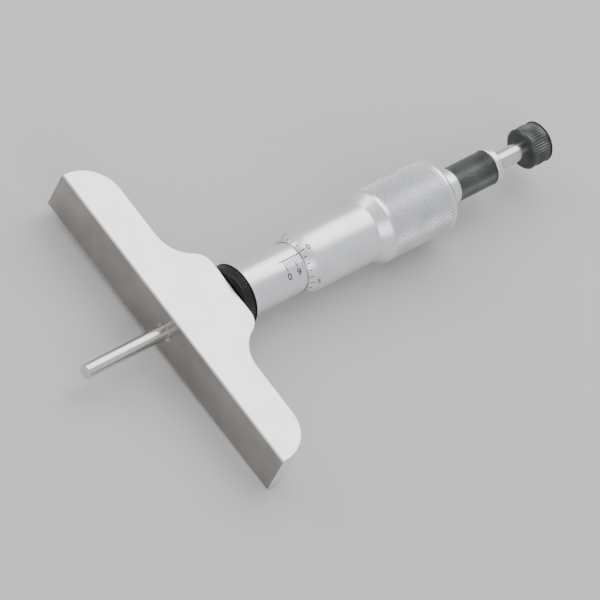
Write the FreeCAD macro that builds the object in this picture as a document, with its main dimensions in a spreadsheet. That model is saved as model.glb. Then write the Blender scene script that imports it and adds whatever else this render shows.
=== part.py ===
import FreeCAD, Part
import Sketcher
import math
import os

# Depth micrometer, 0 to 1 inch head with its fitted measuring rod, lying on its side.
# X runs along the spindle from the measuring face (x = 0) towards the ratchet knob.
# Y runs along the base, Z is the normal of the base's flat sides. Millimetres.

DOC = FreeCAD.newDocument("depth_micrometer")

# ---------------------------------------------------------------- driving dimensions

SIZES = [
    # reading and fits
    ("reading", 20.955, "rod tip beyond the measuring face as modelled"),
    ("full_travel", 25.4, "travel of the micrometer screw"),
    ("run_gap", 0.05, "radial clearance of a running fit"),
    ("face_gap", 0.1, "axial clearance between faces that turn past each other"),
    # base
    ("base_length", 76.2, "length of the measuring face"),
    ("base_width", 11.1, "width of the base across its flat sides"),
    ("base_height", 16.1, "height of the crown over the measuring face"),
    ("end_land", 0.9, "straight end above the measuring face"),
    ("end_radius", 8.4, "round of the base's ends"),
    ("ogee_foot", 17.5, "half distance between the feet of the shoulders"),
    ("ogee_radius", 8.0, "hollow radius of each shoulder"),
    ("crown_half", 6.5, "half width of the flat crown"),
    ("edge_break", 0.35, "chamfer along the base's flat sides"),
    # barrel
    ("shank_diameter", 8.0, "barrel shank pressed into the base"),
    ("shank_depth", 11.0, "depth of the shank in the base"),
    ("barrel_diameter", 9.0, "barrel outside, under the sleeve"),
    ("barrel_bore", 7.0, "clearance bore round the screw"),
    ("nut_zone", 13.0, "threaded length at the barrel's outer end"),
    ("slit_length", 12.0, "length of the slits in the threaded end"),
    ("slit_width", 0.6, "width of each slit"),
    ("slit_count", 3, "slits in the threaded end"),
    ("cone_length", 3.6, "tapered thread at the barrel's tip"),
    ("cone_step", 0.2, "step from the barrel down to the tapered thread"),
    ("cone_drop", 0.25, "radius lost over the tapered thread"),
    # lock
    ("bush_diameter", 6.0, "outside of the split lock bush"),
    ("bush_length", 6.3, "length of the split lock bush"),
    ("bush_sink", 2.1, "how far the bush reaches into the shank"),
    ("bush_slit", 0.5, "width of the slit in the bush"),
    ("roller_diameter", 1.9, "lock roller"),
    ("roller_length", 2.4, "lock roller"),
    ("lock_diameter", 14.2, "lock ring outside"),
    ("lock_width", 3.0, "lock ring width"),
    ("lock_chamfer", 0.35, "lock ring rims"),
    ("cam_offset", 0.5, "offset of the cam inside the lock ring"),
    # sleeve and adjusting nut
    ("sleeve_diameter", 11.0, "graduated sleeve outside"),
    ("sleeve_chamfer", 0.25, "front rim of the sleeve"),
    ("zero_mark", 54.955, "zero line of the sleeve, from the measuring face"),
    ("sleeve_overrun", 1.045, "sleeve beyond its zero line"),
    ("spanner_hole", 1.6, "hole for the adjusting spanner"),
    ("hole_place", 3.2, "spanner hole, from the sleeve's front"),
    ("adjuster_diameter", 10.6, "adjusting nut outside"),
    ("adjuster_length", 2.8, "adjusting nut"),
    ("slot_width", 1.6, "spanner slots of the ring nuts"),
    ("slot_depth", 0.9, "spanner slots of the ring nuts"),
    # spindle
    ("screw_diameter", 6.35, "micrometer screw outside"),
    ("screw_margin", 0.7, "screw tip to lock bush at full travel"),
    ("collar_diameter", 9.2, "spindle collar, large end of its taper"),
    ("collar_length", 0.5, "spindle collar"),
    ("taper_length", 5.0, "taper that seats the thimble"),
    ("taper_end", 6.6, "small end of the taper"),
    ("tail_diameter", 6.0, "thread behind the taper"),
    ("tail_reach", 2.4, "spindle end beyond the thimble's rear face"),
    ("relief_depth", 0.4, "thread relief next to the collar"),
    ("relief_length", 1.2, "thread relief next to the collar"),
    # thimble
    ("thimble_length", 39.6, "thimble, front edge to rear face"),
    ("thimble_diameter", 13.4, "thimble barrel"),
    ("bevel_length", 3.0, "graduated bevel"),
    ("bevel_lip", 0.3, "wall left at the bevel's edge"),
    ("flare_length", 2.5, "cone between barrel and grip"),
    ("grip_diameter", 16.2, "grip of the thimble"),
    ("grip_length", 18.1, "grip of the thimble"),
    ("rim_chamfer", 0.8, "chamfer at the grip's rear rim"),
    ("thimble_depth", 31.0, "depth of the thimble's bore"),
    ("recess_diameter", 10.0, "recess for the thimble nut"),
    ("recess_depth", 3.0, "recess for the thimble nut"),
    ("thimble_nut_diameter", 9.4, "thimble nut outside"),
    ("thimble_nut_length", 2.4, "thimble nut"),
    # cap
    ("cap_diameter", 8.0, "cap outside"),
    ("cap_reach", 16.4, "cap beyond the thimble's rear face"),
    ("cap_collar", 4.4, "plain collar at the cap's front"),
    ("cap_rim", 1.6, "plain rim at the cap's rear"),
    ("band_drop", 0.15, "depth of the cap's knurled band under the collar"),
    ("cap_chamfer", 0.3, "rear rim of the cap"),
    ("chamber_diameter", 6.2, "room for the rod's nuts"),
    ("chamber_depth", 5.4, "room for the rod's nuts"),
    ("cap_web", 1.2, "wall between the rod's nuts and the ratchet"),
    # rod
    ("rod_diameter", 3.175, "measuring rod"),
    ("rod_chamfer", 0.15, "measuring rod tip"),
    ("rod_end_play", 0.2, "rod end to the cap's wall"),
    ("rod_nut_diameter", 5.6, "rod nuts outside"),
    ("rod_nut_flats", 4.8, "rod nuts across their flats"),
    ("rod_nut_length", 3.0, "adjusting nut of the rod"),
    # ratchet
    ("ratchet_diameter", 6.4, "ratchet chamber in the cap"),
    ("ratchet_eye", 3.3, "hole through the toothed ring and between the teeth"),
    ("ratchet_plate", 0.7, "toothed ring under its teeth"),
    ("tooth_height", 0.6, "ratchet teeth at their outer end"),
    ("tooth_count", 12, "ratchet teeth"),
    ("driver_plate", 1.6, "driver above its teeth"),
    ("mesh_gap", 0.05, "clearance between the two sets of teeth"),
    ("stem_diameter", 2.5, "stem of the knob inside the cap"),
    ("stem_flats", 1.9, "stem across its flats"),
    ("gland_length", 1.8, "gland that closes the cap"),
    ("gland_slot", 0.7, "width and depth of the spanner slots in the gland"),
    ("washer_thickness", 0.3, "washer under the gland"),
    ("spring_wire", 0.35, "thickness of the ratchet spring's flat wire, half its width"),
    ("spring_diameter", 4.6, "ratchet spring, mean diameter"),
    ("spring_turns", 3, "ratchet spring"),
    # knob
    ("neck_diameter", 4.0, "neck between the cap and the knob"),
    ("neck_length", 7.9, "neck between the cap and the knob"),
    ("knob_diameter", 9.0, "ratchet knob"),
    ("knob_length", 5.6, "ratchet knob"),
    ("knob_chamfer", 0.5, "ratchet knob rims"),
    ("dish_diameter", 5.6, "dish in the knob's end"),
    ("dish_depth", 0.4, "dish in the knob's end"),
    ("screw_head", 2.6, "stem screw head"),
    ("screw_head_height", 0.5, "stem screw head"),
    ("stem_thread", 1.0, "stem screw thread"),
    ("stem_thread_length", 2.5, "stem screw thread"),
    ("driver_slot", 0.3, "slot in the stem screw"),
]

SHEET = DOC.addObject("Spreadsheet::Sheet", "Sizes")
for row, (alias, value, note) in enumerate(SIZES, 1):
    SHEET.set(f"A{row}", note)
    SHEET.set(f"B{row}", str(value))
    SHEET.setAlias(f"B{row}", alias)
DOC.recompute()


class Formula:
    """A length as a number, with the spreadsheet expression that gives it."""

    def __init__(self, value, text):
        self.value = value
        self.text = text

    def joined(self, sign, other, value):
        return Formula(value, f"({self.text} {sign} {other.text})")

    def __add__(self, other):
        other = as_formula(other)
        return self.joined("+", other, self.value + other.value)

    def __sub__(self, other):
        other = as_formula(other)
        return self.joined("-", other, self.value - other.value)

    def __mul__(self, other):
        other = as_formula(other)
        return self.joined("*", other, self.value * other.value)

    def __truediv__(self, other):
        other = as_formula(other)
        return self.joined("/", other, self.value / other.value)

    def __neg__(self):
        return Formula(-self.value, f"(0 - {self.text})")

    def root(self):
        return Formula(math.sqrt(self.value), f"sqrt({self.text})")


def as_formula(number):
    """A plain number as a Formula."""
    if isinstance(number, Formula):
        return number
    return Formula(number, str(number))


def size(alias):
    """The spreadsheet's value under this alias, as a Formula."""
    return Formula(float(SHEET.get(alias)), f"Sizes.{alias}")


def radius(alias, gap=0):
    """Half of a diameter in the spreadsheet, plus a gap."""
    half = size(alias) / 2
    if gap == 0:
        return half
    return half + gap


ZERO = Formula(0, "0")
OVERCUT = 1  # how far a cut runs out of the metal

# ---------------------------------------------------------------- construction helpers


def origin_plane(body, role):
    """The body's own origin plane with this role."""
    for feature in body.Origin.OriginFeatures:
        if feature.Role == role:
            return feature
    raise ValueError(role)


def new_body(label, along=ZERO):
    """An empty body whose own origin lies on the spindle axis at x = along."""
    body = DOC.addObject("PartDesign::Body", label)
    body.Label = label
    if along.text != "0":
        body.setExpression("Placement.Base.x", along.text)
    return body


def new_sketch(body, name, role="XY_Plane", lifted=ZERO):
    """A sketch on one of the body's origin planes, lifted along the plane's normal."""
    sketch = body.newObject("Sketcher::SketchObject", f"{body.Label}_{name}")
    sketch.AttachmentSupport = [(origin_plane(body, role), "")]
    sketch.MapMode = "FlatFace"
    if lifted.text != "0":
        sketch.setExpression("AttachmentOffset.Base.z", lifted.text)
    return sketch


def bind(sketch, constraint, formula):
    """Adds a constraint whose value follows the spreadsheet."""
    index = sketch.addConstraint(constraint)
    sketch.setExpression(f"Constraints[{index}]", formula.text)


def fix_point(sketch, geometry, end, across, up):
    """Ties one end of a geometry to its place from the sketch's origin."""
    if across.text == "0":
        sketch.addConstraint(Sketcher.Constraint("PointOnObject", geometry, end, -2))
    else:
        place = Sketcher.Constraint("DistanceX", -1, 1, geometry, end, across.value)
        bind(sketch, place, across)
    if up.text == "0":
        sketch.addConstraint(Sketcher.Constraint("PointOnObject", geometry, end, -1))
    else:
        place = Sketcher.Constraint("DistanceY", -1, 1, geometry, end, up.value)
        bind(sketch, place, up)


def nearer_end(sketch, geometry, point):
    """Which end of a geometry, 1 or 2, lies at this point."""
    first = sketch.getPoint(geometry, 1).distanceToPoint(point)
    second = sketch.getPoint(geometry, 2).distanceToPoint(point)
    return 1 if first < second else 2


def add_outline(sketch, corners, arcs=None):
    """A closed outline through the corners. arcs gives a side's radius and centre."""
    arcs = arcs or {}
    points = [FreeCAD.Vector(x.value, y.value, 0) for x, y in corners]
    count = len(points)
    sides = []
    for number, start in enumerate(points):
        finish = points[(number + 1) % count]
        if number in arcs:
            bend, centre = arcs[number]
            hub = FreeCAD.Vector(centre[0].value, centre[1].value, 0)
            outwards = (start + finish) / 2 - hub
            crest = hub + outwards.normalize() * bend.value
            geometry = sketch.addGeometry(Part.Arc(start, crest, finish))
        else:
            geometry = sketch.addGeometry(Part.LineSegment(start, finish))
        sides.append(geometry)
    for number, geometry in enumerate(sides):
        following = sides[(number + 1) % count]
        joint = points[(number + 1) % count]
        out_end = nearer_end(sketch, geometry, joint)
        in_end = nearer_end(sketch, following, joint)
        meeting = Sketcher.Constraint("Coincident", geometry, out_end, following, in_end)
        sketch.addConstraint(meeting)
    for number, geometry in enumerate(sides):
        end = nearer_end(sketch, geometry, points[number])
        fix_point(sketch, geometry, end, *corners[number])
    for number, (bend, centre) in arcs.items():
        bind(sketch, Sketcher.Constraint("Radius", sides[number], bend.value), bend)


def add_circle(sketch, across, up, round_radius):
    """A full circle with its centre and radius tied to the spreadsheet."""
    centre = FreeCAD.Vector(across.value, up.value, 0)
    circle = Part.Circle(centre, FreeCAD.Vector(0, 0, 1), round_radius.value)
    geometry = sketch.addGeometry(circle)
    fix_point(sketch, geometry, 3, across, up)
    bind(sketch, Sketcher.Constraint("Radius", geometry, round_radius.value), round_radius)


def add_box(sketch, left, right, low, high):
    """An upright rectangle."""
    add_outline(sketch, [(left, low), (right, low), (right, high), (left, high)])


def turn(body, corners, arcs=None, name="turning", cut=False):
    """Revolves a closed profile of (x, radius) corners about the spindle axis."""
    sketch = new_sketch(body, f"{name}_profile")
    add_outline(sketch, corners, arcs)
    kind = "PartDesign::Groove" if cut else "PartDesign::Revolution"
    feature = body.newObject(kind, f"{body.Label}_{name}")
    feature.Profile = sketch
    feature.ReferenceAxis = (sketch, ["H_Axis"])
    feature.Angle = 360
    return feature


def pocket(body, sketch, depth, name, forward):
    """Cuts a sketch into the body: forward cuts along the sketch plane's normal."""
    feature = body.newObject("PartDesign::Pocket", f"{body.Label}_{name}")
    feature.Profile = sketch
    feature.setExpression("Length", depth.text)
    feature.Reversed = forward
    return feature


def repeat_round(body, feature, sketch, count, name):
    """Repeats a feature round the spindle axis, which is the sketch's normal."""
    pattern = body.newObject("PartDesign::PolarPattern", f"{body.Label}_{name}")
    pattern.Originals = [feature]
    pattern.Axis = (sketch, ["N_Axis"])
    pattern.Angle = 360
    pattern.setExpression("Occurrences", count.text)
    body.Tip = pattern
    return pattern


# ---------------------------------------------------------------- places along the axis

RUN = size("run_gap")
FACE = size("face_gap")
CROWN = size("base_height")
BUSH_START = CROWN - size("bush_sink")
BUSH_END = BUSH_START + size("bush_length")
LOCK_START = CROWN + FACE
SLEEVE_START = LOCK_START + size("lock_width") + FACE
SLEEVE_END = size("zero_mark") + size("sleeve_overrun")
BARREL_END = SLEEVE_END + size("cone_length")

# what travels with the screw
THIMBLE_EDGE = size("zero_mark") - size("reading")
SCREW_TIP = BUSH_END + size("screw_margin") + size("full_travel") - size("reading")
TAPER_START = THIMBLE_EDGE + size("thimble_depth")
THIMBLE_REAR = THIMBLE_EDGE + size("thimble_length")
RECESS_FLOOR = THIMBLE_REAR - size("recess_depth")
ROD_SEAT = THIMBLE_REAR + size("tail_reach")

# ---------------------------------------------------------------- base and barrel


def make_base():
    """The cast and ground base: a flat face, rounded ends and a crown on ogee shoulders."""
    body = new_body("base")
    half = size("base_length") / 2
    land = size("end_land")
    end_round = size("end_radius")
    saddle = land + end_round
    foot = size("ogee_foot")
    hollow = size("ogee_radius")
    crown = size("crown_half")
    rise = CROWN - saddle
    spread = foot - crown
    # the hollow and the round of a shoulder meet where their centres' line crosses both
    both = (rise * rise + spread * spread) / (rise * 2)
    shoulder = both - hollow
    share = hollow / both
    meet_x = saddle + hollow - (saddle + hollow - CROWN + shoulder) * share
    meet_y = foot - spread * share
    corners = [
        (ZERO, -half),
        (land, -half),
        (saddle, -half + end_round),
        (saddle, -foot),
        (meet_x, -meet_y),
        (CROWN, -crown),
        (CROWN, crown),
        (meet_x, meet_y),
        (saddle, foot),
        (saddle, half - end_round),
        (land, half),
        (ZERO, half),
    ]
    arcs = {
        1: (end_round, (land, -half + end_round)),
        3: (hollow, (saddle + hollow, -foot)),
        4: (shoulder, (CROWN - shoulder, -crown)),
        6: (shoulder, (CROWN - shoulder, crown)),
        7: (hollow, (saddle + hollow, foot)),
        9: (end_round, (land, half - end_round)),
    }
    outline = new_sketch(body, "outline")
    add_outline(outline, corners, arcs)
    block = body.newObject("PartDesign::Pad", "base_block")
    block.Profile = outline
    block.Midplane = True
    block.setExpression("Length", "Sizes.base_width")
    DOC.recompute()
    sides = []
    for number, face in enumerate(block.Shape.Faces, 1):
        if abs(face.normalAt(0, 0).z) > 0.99:
            sides.append(f"Face{number}")
    bevels = body.newObject("PartDesign::Chamfer", "base_bevels")
    bevels.Base = (block, sides)
    bevels.setExpression("Size", "Sizes.edge_break")
    rod_hole = radius("rod_diameter", RUN)
    shank = radius("shank_diameter")
    shank_start = CROWN - size("shank_depth")
    countersink = size("edge_break")
    bore = [
        (ZERO, ZERO),
        (ZERO, rod_hole + countersink),
        (countersink, rod_hole),
        (shank_start, rod_hole),
        (shank_start, shank),
        (CROWN, shank),
        (CROWN, ZERO),
    ]
    turn(body, bore, name="bore", cut=True)


def make_barrel():
    """The inner barrel: shank, bearing for the sleeve, slit nut with a tapered tip."""
    body = new_body("barrel")
    outside = radius("barrel_diameter")
    shank = radius("shank_diameter")
    bush = radius("bush_diameter")
    rod_hole = radius("rod_diameter", RUN * 2)
    bore = radius("barrel_bore")
    thread = radius("screw_diameter", RUN)
    nut_start = BARREL_END - size("nut_zone")
    cone_start = BARREL_END - size("cone_length")
    profile = [
        (CROWN - size("shank_depth"), rod_hole),
        (CROWN - size("shank_depth"), shank),
        (CROWN, shank),
        (CROWN, outside),
        (cone_start, outside),
        (cone_start, adjuster_bore()),
        (BARREL_END, adjuster_bore() - size("cone_drop")),
        (BARREL_END, thread),
        (nut_start, thread),
        (nut_start, bore),
        (BUSH_END, bore),
        (BUSH_END, bush),
        (BUSH_START, bush),
        (BUSH_START, rod_hole),
    ]
    turn(body, profile)
    window = new_sketch(body, "window")
    side = radius("roller_diameter", RUN)
    add_box(window, ROLLER_START - RUN, ROLLER_START + size("roller_length") + RUN, -side, side)
    pocket(body, window, outside + OVERCUT, "roller_window", True)
    slit_start = BARREL_END - size("slit_length")
    slit = new_sketch(body, "slit", "YZ_Plane", slit_start)
    half = size("slit_width") / 2
    add_box(slit, -half, half, ZERO, outside + OVERCUT)
    cut = pocket(body, slit, size("slit_length") + OVERCUT, "slit_cut", True)
    repeat_round(body, cut, slit, size("slit_count"), "slits")


def adjuster_bore():
    """Radius of the adjusting nut's bore at its front, where the taper begins."""
    return radius("barrel_diameter") - size("cone_step")


def cone_radius(beyond):
    """Radius of the tapered tip at this distance from the taper's start."""
    return adjuster_bore() - size("cone_drop") * beyond / size("cone_length")


ROLLER_START = LOCK_START + (size("lock_width") - size("roller_length")) / 2


def make_adjusting_nut():
    """The ring nut that closes the slit end of the barrel to take up wear."""
    start = BARREL_END - size("cone_length") + FACE * 3
    body = new_body("adjusting_nut", start)
    length = size("adjuster_length")
    outside = radius("adjuster_diameter")
    front = cone_radius(FACE * 3)
    rear = cone_radius(FACE * 3 + length)
    turn(body, [(ZERO, front), (ZERO, outside), (length, outside), (length, rear)])
    cross_slots(body, length, outside, size("slot_width"), size("slot_depth"))


def cross_slots(body, length, outside, width, depth):
    """Two spanner slots across the rear face of a ring nut."""
    slot = new_sketch(body, "slot", "YZ_Plane", length)
    half = width / 2
    add_box(slot, -half, half, -outside - OVERCUT, outside + OVERCUT)
    pocket(body, slot, depth, "slots", False)


# ---------------------------------------------------------------- lock


def make_lock_bush():
    """The split bush that grips the measuring rod when the lock ring is turned."""
    body = new_body("lock_bush", BUSH_START)
    inside = radius("rod_diameter", RUN)
    outside = radius("bush_diameter")
    length = size("bush_length")
    turn(body, [(ZERO, inside), (ZERO, outside), (length, outside), (length, inside)])
    slit = new_sketch(body, "slit")
    half = size("bush_slit") / 2
    add_box(slit, ZERO - OVERCUT, length + OVERCUT, -half, half)
    pocket(body, slit, outside + OVERCUT, "slit_cut", False)


def make_lock_roller():
    """The roller that the ring's cam presses on to the bush."""
    body = new_body("lock_roller", ROLLER_START)
    seat = new_sketch(body, "section", "YZ_Plane")
    rolling = radius("roller_diameter")
    add_circle(seat, ZERO, radius("bush_diameter") + rolling, rolling)
    roller = body.newObject("PartDesign::Pad", "lock_roller_pad")
    roller.Profile = seat
    roller.setExpression("Length", "Sizes.roller_length")


def make_lock_ring():
    """The knurled lock ring, with an off-centre cam bore over the roller."""
    body = new_body("lock_ring", LOCK_START)
    inside = radius("barrel_diameter", RUN)
    outside = radius("lock_diameter")
    width = size("lock_width")
    rim = size("lock_chamfer")
    profile = [
        (ZERO, inside),
        (ZERO, outside - rim),
        (rim, outside),
        (width - rim, outside),
        (width, outside - rim),
        (width, inside),
    ]
    turn(body, profile)
    cam = new_sketch(body, "cam", "YZ_Plane")
    add_circle(cam, ZERO, size("cam_offset"), inside + RUN)
    pocket(body, cam, width + OVERCUT, "cam_bore", True)


# ---------------------------------------------------------------- sleeve


def make_sleeve():
    """The graduated sleeve, which turns on the barrel with a spanner to set zero."""
    body = new_body("sleeve", SLEEVE_START)
    inside = radius("barrel_diameter", RUN / 2)
    outside = radius("sleeve_diameter")
    length = SLEEVE_END - SLEEVE_START
    rim = size("sleeve_chamfer")
    profile = [
        (ZERO, inside),
        (ZERO, outside - rim),
        (rim, outside),
        (length, outside),
        (length, inside),
    ]
    turn(body, profile)
    hole = new_sketch(body, "hole")
    add_circle(hole, size("hole_place"), ZERO, radius("spanner_hole"))
    pocket(body, hole, outside + OVERCUT, "spanner_hole", False)


# ---------------------------------------------------------------- spindle and thimble


def make_spindle():
    """The hollow micrometer screw, with the taper that carries the thimble."""
    body = new_body("spindle", SCREW_TIP)
    bore = radius("rod_diameter", RUN)
    thread = radius("screw_diameter")
    collar = radius("collar_diameter")
    taper_at = TAPER_START - SCREW_TIP
    tail_at = taper_at + size("taper_length")
    relief_end = taper_at - size("collar_length")
    relief_start = relief_end - size("relief_length")
    groove = thread - size("relief_depth")
    end = ROD_SEAT - SCREW_TIP
    profile = [
        (ZERO, bore),
        (ZERO, thread),
        (relief_start, thread),
        (relief_start, groove),
        (relief_end, groove),
        (relief_end, collar),
        (taper_at, collar),
        (tail_at, radius("taper_end")),
        (tail_at, radius("tail_diameter")),
        (end, radius("tail_diameter")),
        (end, bore),
    ]
    turn(body, profile)


def make_thimble():
    """The thimble: graduated bevel, barrel, flare and the larger knurled grip."""
    body = new_body("thimble", THIMBLE_EDGE)
    bore = radius("sleeve_diameter", RUN)
    outside = radius("thimble_diameter")
    grip = radius("grip_diameter")
    length = size("thimble_length")
    grip_start = length - size("grip_length")
    rim = size("rim_chamfer")
    depth = size("thimble_depth")
    taper_end = depth + size("taper_length")
    recess = length - size("recess_depth")
    profile = [
        (ZERO, bore),
        (ZERO, bore + size("bevel_lip")),
        (size("bevel_length"), outside),
        (grip_start - size("flare_length"), outside),
        (grip_start, grip),
        (length - rim, grip),
        (length, grip - rim),
        (length, radius("recess_diameter")),
        (recess, radius("recess_diameter")),
        (recess, radius("tail_diameter", RUN)),
        (taper_end, radius("tail_diameter", RUN)),
        (taper_end, radius("taper_end")),
        (depth, radius("collar_diameter")),
        (depth, bore),
    ]
    turn(body, profile)


def make_thimble_nut():
    """The ring nut that draws the thimble on to the spindle's taper."""
    body = new_body("thimble_nut", RECESS_FLOOR)
    inside = radius("tail_diameter")
    outside = radius("thimble_nut_diameter")
    length = size("thimble_nut_length")
    turn(body, [(ZERO, inside), (ZERO, outside), (length, outside), (length, inside)])
    cross_slots(body, length, outside, size("slot_width"), size("slot_depth"))


# ---------------------------------------------------------------- cap and rod

CAP_START = RECESS_FLOOR + size("thimble_nut_length")
CAP_END = THIMBLE_REAR + size("cap_reach")
WEB_START = ROD_SEAT + size("chamber_depth")
RATCHET_FLOOR = WEB_START + size("cap_web")


def make_cap():
    """The cap that clamps the rod's nuts on the spindle and houses the ratchet."""
    body = new_body("cap", CAP_START)
    outside = radius("cap_diameter")
    band = outside - size("band_drop")
    tail = radius("tail_diameter")
    room = radius("chamber_diameter")
    ratchet = radius("ratchet_diameter")
    collar_end = THIMBLE_REAR + size("cap_collar") - CAP_START
    band_end = CAP_END - size("cap_rim") - CAP_START
    end = CAP_END - CAP_START
    rim = size("cap_chamfer")
    seat = ROD_SEAT - CAP_START
    web_start = WEB_START - CAP_START
    web_end = RATCHET_FLOOR - CAP_START
    profile = [
        (ZERO, tail),
        (ZERO, outside),
        (collar_end, outside),
        (collar_end, band),
        (band_end, band),
        (band_end, outside),
        (end - rim, outside),
        (end, outside - rim),
        (end, ratchet),
        (web_end, ratchet),
        (web_end, ZERO),
        (web_start, ZERO),
        (web_start, room),
        (seat, room),
        (seat, tail),
    ]
    turn(body, profile)


def make_measuring_rod():
    """The fitted measuring rod, from its lapped tip to its threaded end in the cap."""
    body = new_body("measuring_rod", -size("reading"))
    outside = radius("rod_diameter")
    tip = size("rod_chamfer")
    length = WEB_START - size("rod_end_play") + size("reading")
    profile = [
        (ZERO, ZERO),
        (ZERO, outside - tip),
        (tip, outside),
        (length, outside),
        (length, ZERO),
    ]
    turn(body, profile)


def two_flats(body, flat, outside, length):
    """Cuts two flats, at this distance from the axis, along the body's first stretch."""
    far = outside + OVERCUT
    for side, name in ((1, "upper"), (-1, "lower")):
        waste = new_sketch(body, f"{name}_flat", "YZ_Plane")
        add_box(waste, -far, far, flat * side, far * side)
        pocket(body, waste, length, f"{name}_flat_cut", True)


def make_rod_nut(label, start, length):
    """A small nut on the rod's threaded end, with two flats for the open spanner."""
    body = new_body(label, start)
    inside = radius("rod_diameter")
    outside = radius("rod_nut_diameter")
    turn(body, [(ZERO, inside), (ZERO, outside), (length, outside), (length, inside)])
    two_flats(body, size("rod_nut_flats") / 2, outside, length)


# ---------------------------------------------------------------- ratchet

TEETH_FLOOR = RATCHET_FLOOR + size("ratchet_plate")
DRIVER_START = TEETH_FLOOR + size("mesh_gap")
DRIVER_LENGTH = size("tooth_height") + size("driver_plate")
GLAND_START = CAP_END - size("gland_length")
WASHER_START = GLAND_START - size("washer_thickness")
KNOB_NECK = CAP_END + FACE
STEM_TIP = DRIVER_START - FACE
SPRING_RUNS = 12  # straight runs in each turn of the spring


def wedge_outline(sketch, distance, floor):
    """A saw tooth across the sketch, as wide as one pitch at this distance."""
    half = distance * math.tan(math.pi / size("tooth_count").value)
    height = size("tooth_height") * distance / radius("ratchet_diameter")
    corners = [(floor, -half), (floor + height, half), (floor, half)]
    add_outline(sketch, corners)


def saw_teeth(body, kind, inner, outer, floor, name):
    """A crown of saw teeth whose edges all point at the axis, added or cut away."""
    near = new_sketch(body, f"{name}_near", "XY_Plane", inner)
    wedge_outline(near, inner, floor)
    far = new_sketch(body, f"{name}_far", "XY_Plane", outer)
    wedge_outline(far, outer, floor)
    tooth = body.newObject(kind, f"{body.Label}_{name}")
    tooth.Profile = near
    tooth.Sections = [far]
    tooth.Ruled = True
    middle = new_sketch(body, f"{name}_axis", "YZ_Plane")
    repeat_round(body, tooth, middle, size("tooth_count"), f"{name}_crown")


def make_ratchet_ring():
    """The toothed ring fixed to the cap's inner wall."""
    body = new_body("ratchet_ring", RATCHET_FLOOR)
    eye = radius("ratchet_eye")
    outside = radius("ratchet_diameter")
    plate = size("ratchet_plate")
    turn(body, [(ZERO, eye), (ZERO, outside), (plate, outside), (plate, eye)])
    widest = outside * math.cos(math.pi / size("tooth_count").value)
    saw_teeth(body, "PartDesign::AdditiveLoft", eye, widest, plate, "teeth")


def flatted_hole(sketch, round_radius, flat):
    """A round hole with two flats, as far from the axis as flat."""
    reach = (round_radius * round_radius - flat * flat).root()
    corners = [(-reach, -flat), (reach, -flat), (reach, flat), (-reach, flat)]
    centre = (ZERO, ZERO)
    add_outline(sketch, corners, {1: (round_radius, centre), 3: (round_radius, centre)})


def make_ratchet_driver():
    """The sprung driver, whose teeth mesh with the ring and slip over them."""
    body = new_body("ratchet_driver", DRIVER_START)
    flat = size("stem_flats") / 2 + RUN
    outside = radius("ratchet_diameter") - RUN * 2
    eye = radius("ratchet_eye")
    height = size("tooth_height")
    profile = [
        (height, flat),
        (height, eye),
        (ZERO, eye),
        (ZERO, outside),
        (DRIVER_LENGTH, outside),
        (DRIVER_LENGTH, flat),
    ]
    turn(body, profile)
    saw_teeth(body, "PartDesign::SubtractiveLoft", eye / 2, outside * 1.5, ZERO, "gaps")
    keyway = new_sketch(body, "keyway", "YZ_Plane")
    flatted_hole(keyway, radius("stem_diameter", RUN), flat)
    pocket(body, keyway, DRIVER_LENGTH + OVERCUT, "keyway_cut", True)


def make_ratchet_spring():
    """The flat-wire compression spring between the driver and the gland's washer.

    Its wire climbs round the stem in short straight runs, which a sketch can't hold, so
    the solid is built here and keeps its place by an expression like the other pieces.
    """
    start = DRIVER_START + DRIVER_LENGTH
    wire = size("spring_wire").value
    middle = radius("spring_diameter").value
    climb = (WASHER_START - start - size("spring_wire")).value
    turns = size("spring_turns").value
    runs = int(turns * SPRING_RUNS)
    stations = []
    for step in range(runs + 1):
        angle = 2 * math.pi * turns * step / runs
        along = climb * step / runs
        station = []
        for rise, reach in ((0, -wire), (0, wire), (wire, wire), (wire, -wire)):
            far = middle + reach
            point = FreeCAD.Vector(along + rise, far * math.cos(angle), far * math.sin(angle))
            station.append(point)
        stations.append(station)
    faces = [flat_face(stations[0]), flat_face(stations[-1])]
    for before, after in zip(stations, stations[1:]):
        for corner in range(4):
            following = (corner + 1) % 4
            faces.append(flat_face([before[corner], before[following], after[following]]))
            faces.append(flat_face([before[corner], after[following], after[corner]]))
    solid = Part.Solid(Part.Shell(faces))
    if solid.Volume < 0:
        solid.reverse()
    spring = DOC.addObject("Part::Feature", "ratchet_spring")
    spring.Label = "ratchet_spring"
    spring.Shape = solid
    spring.setExpression("Placement.Base.x", start.text)


def flat_face(corners):
    """A flat face with these corners."""
    return Part.Face(Part.makePolygon(corners + corners[:1]))


def make_gland():
    """The gland that closes the cap and bears the knob's stem."""
    body = new_body("cap_gland", GLAND_START)
    inside = radius("stem_diameter", RUN)
    outside = radius("ratchet_diameter")
    length = size("gland_length")
    turn(body, [(ZERO, inside), (ZERO, outside), (length, outside), (length, inside)])
    cross_slots(body, length, outside, size("gland_slot"), size("gland_slot"))


def make_washer():
    """The flat washer between the spring and the gland."""
    inside = radius("stem_diameter", RUN)
    outside = radius("ratchet_diameter") - RUN * 2
    thick = size("washer_thickness")
    profile = [(ZERO, inside), (ZERO, outside), (thick, outside), (thick, inside)]
    turn(new_body("spring_washer", WASHER_START), profile)


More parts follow.
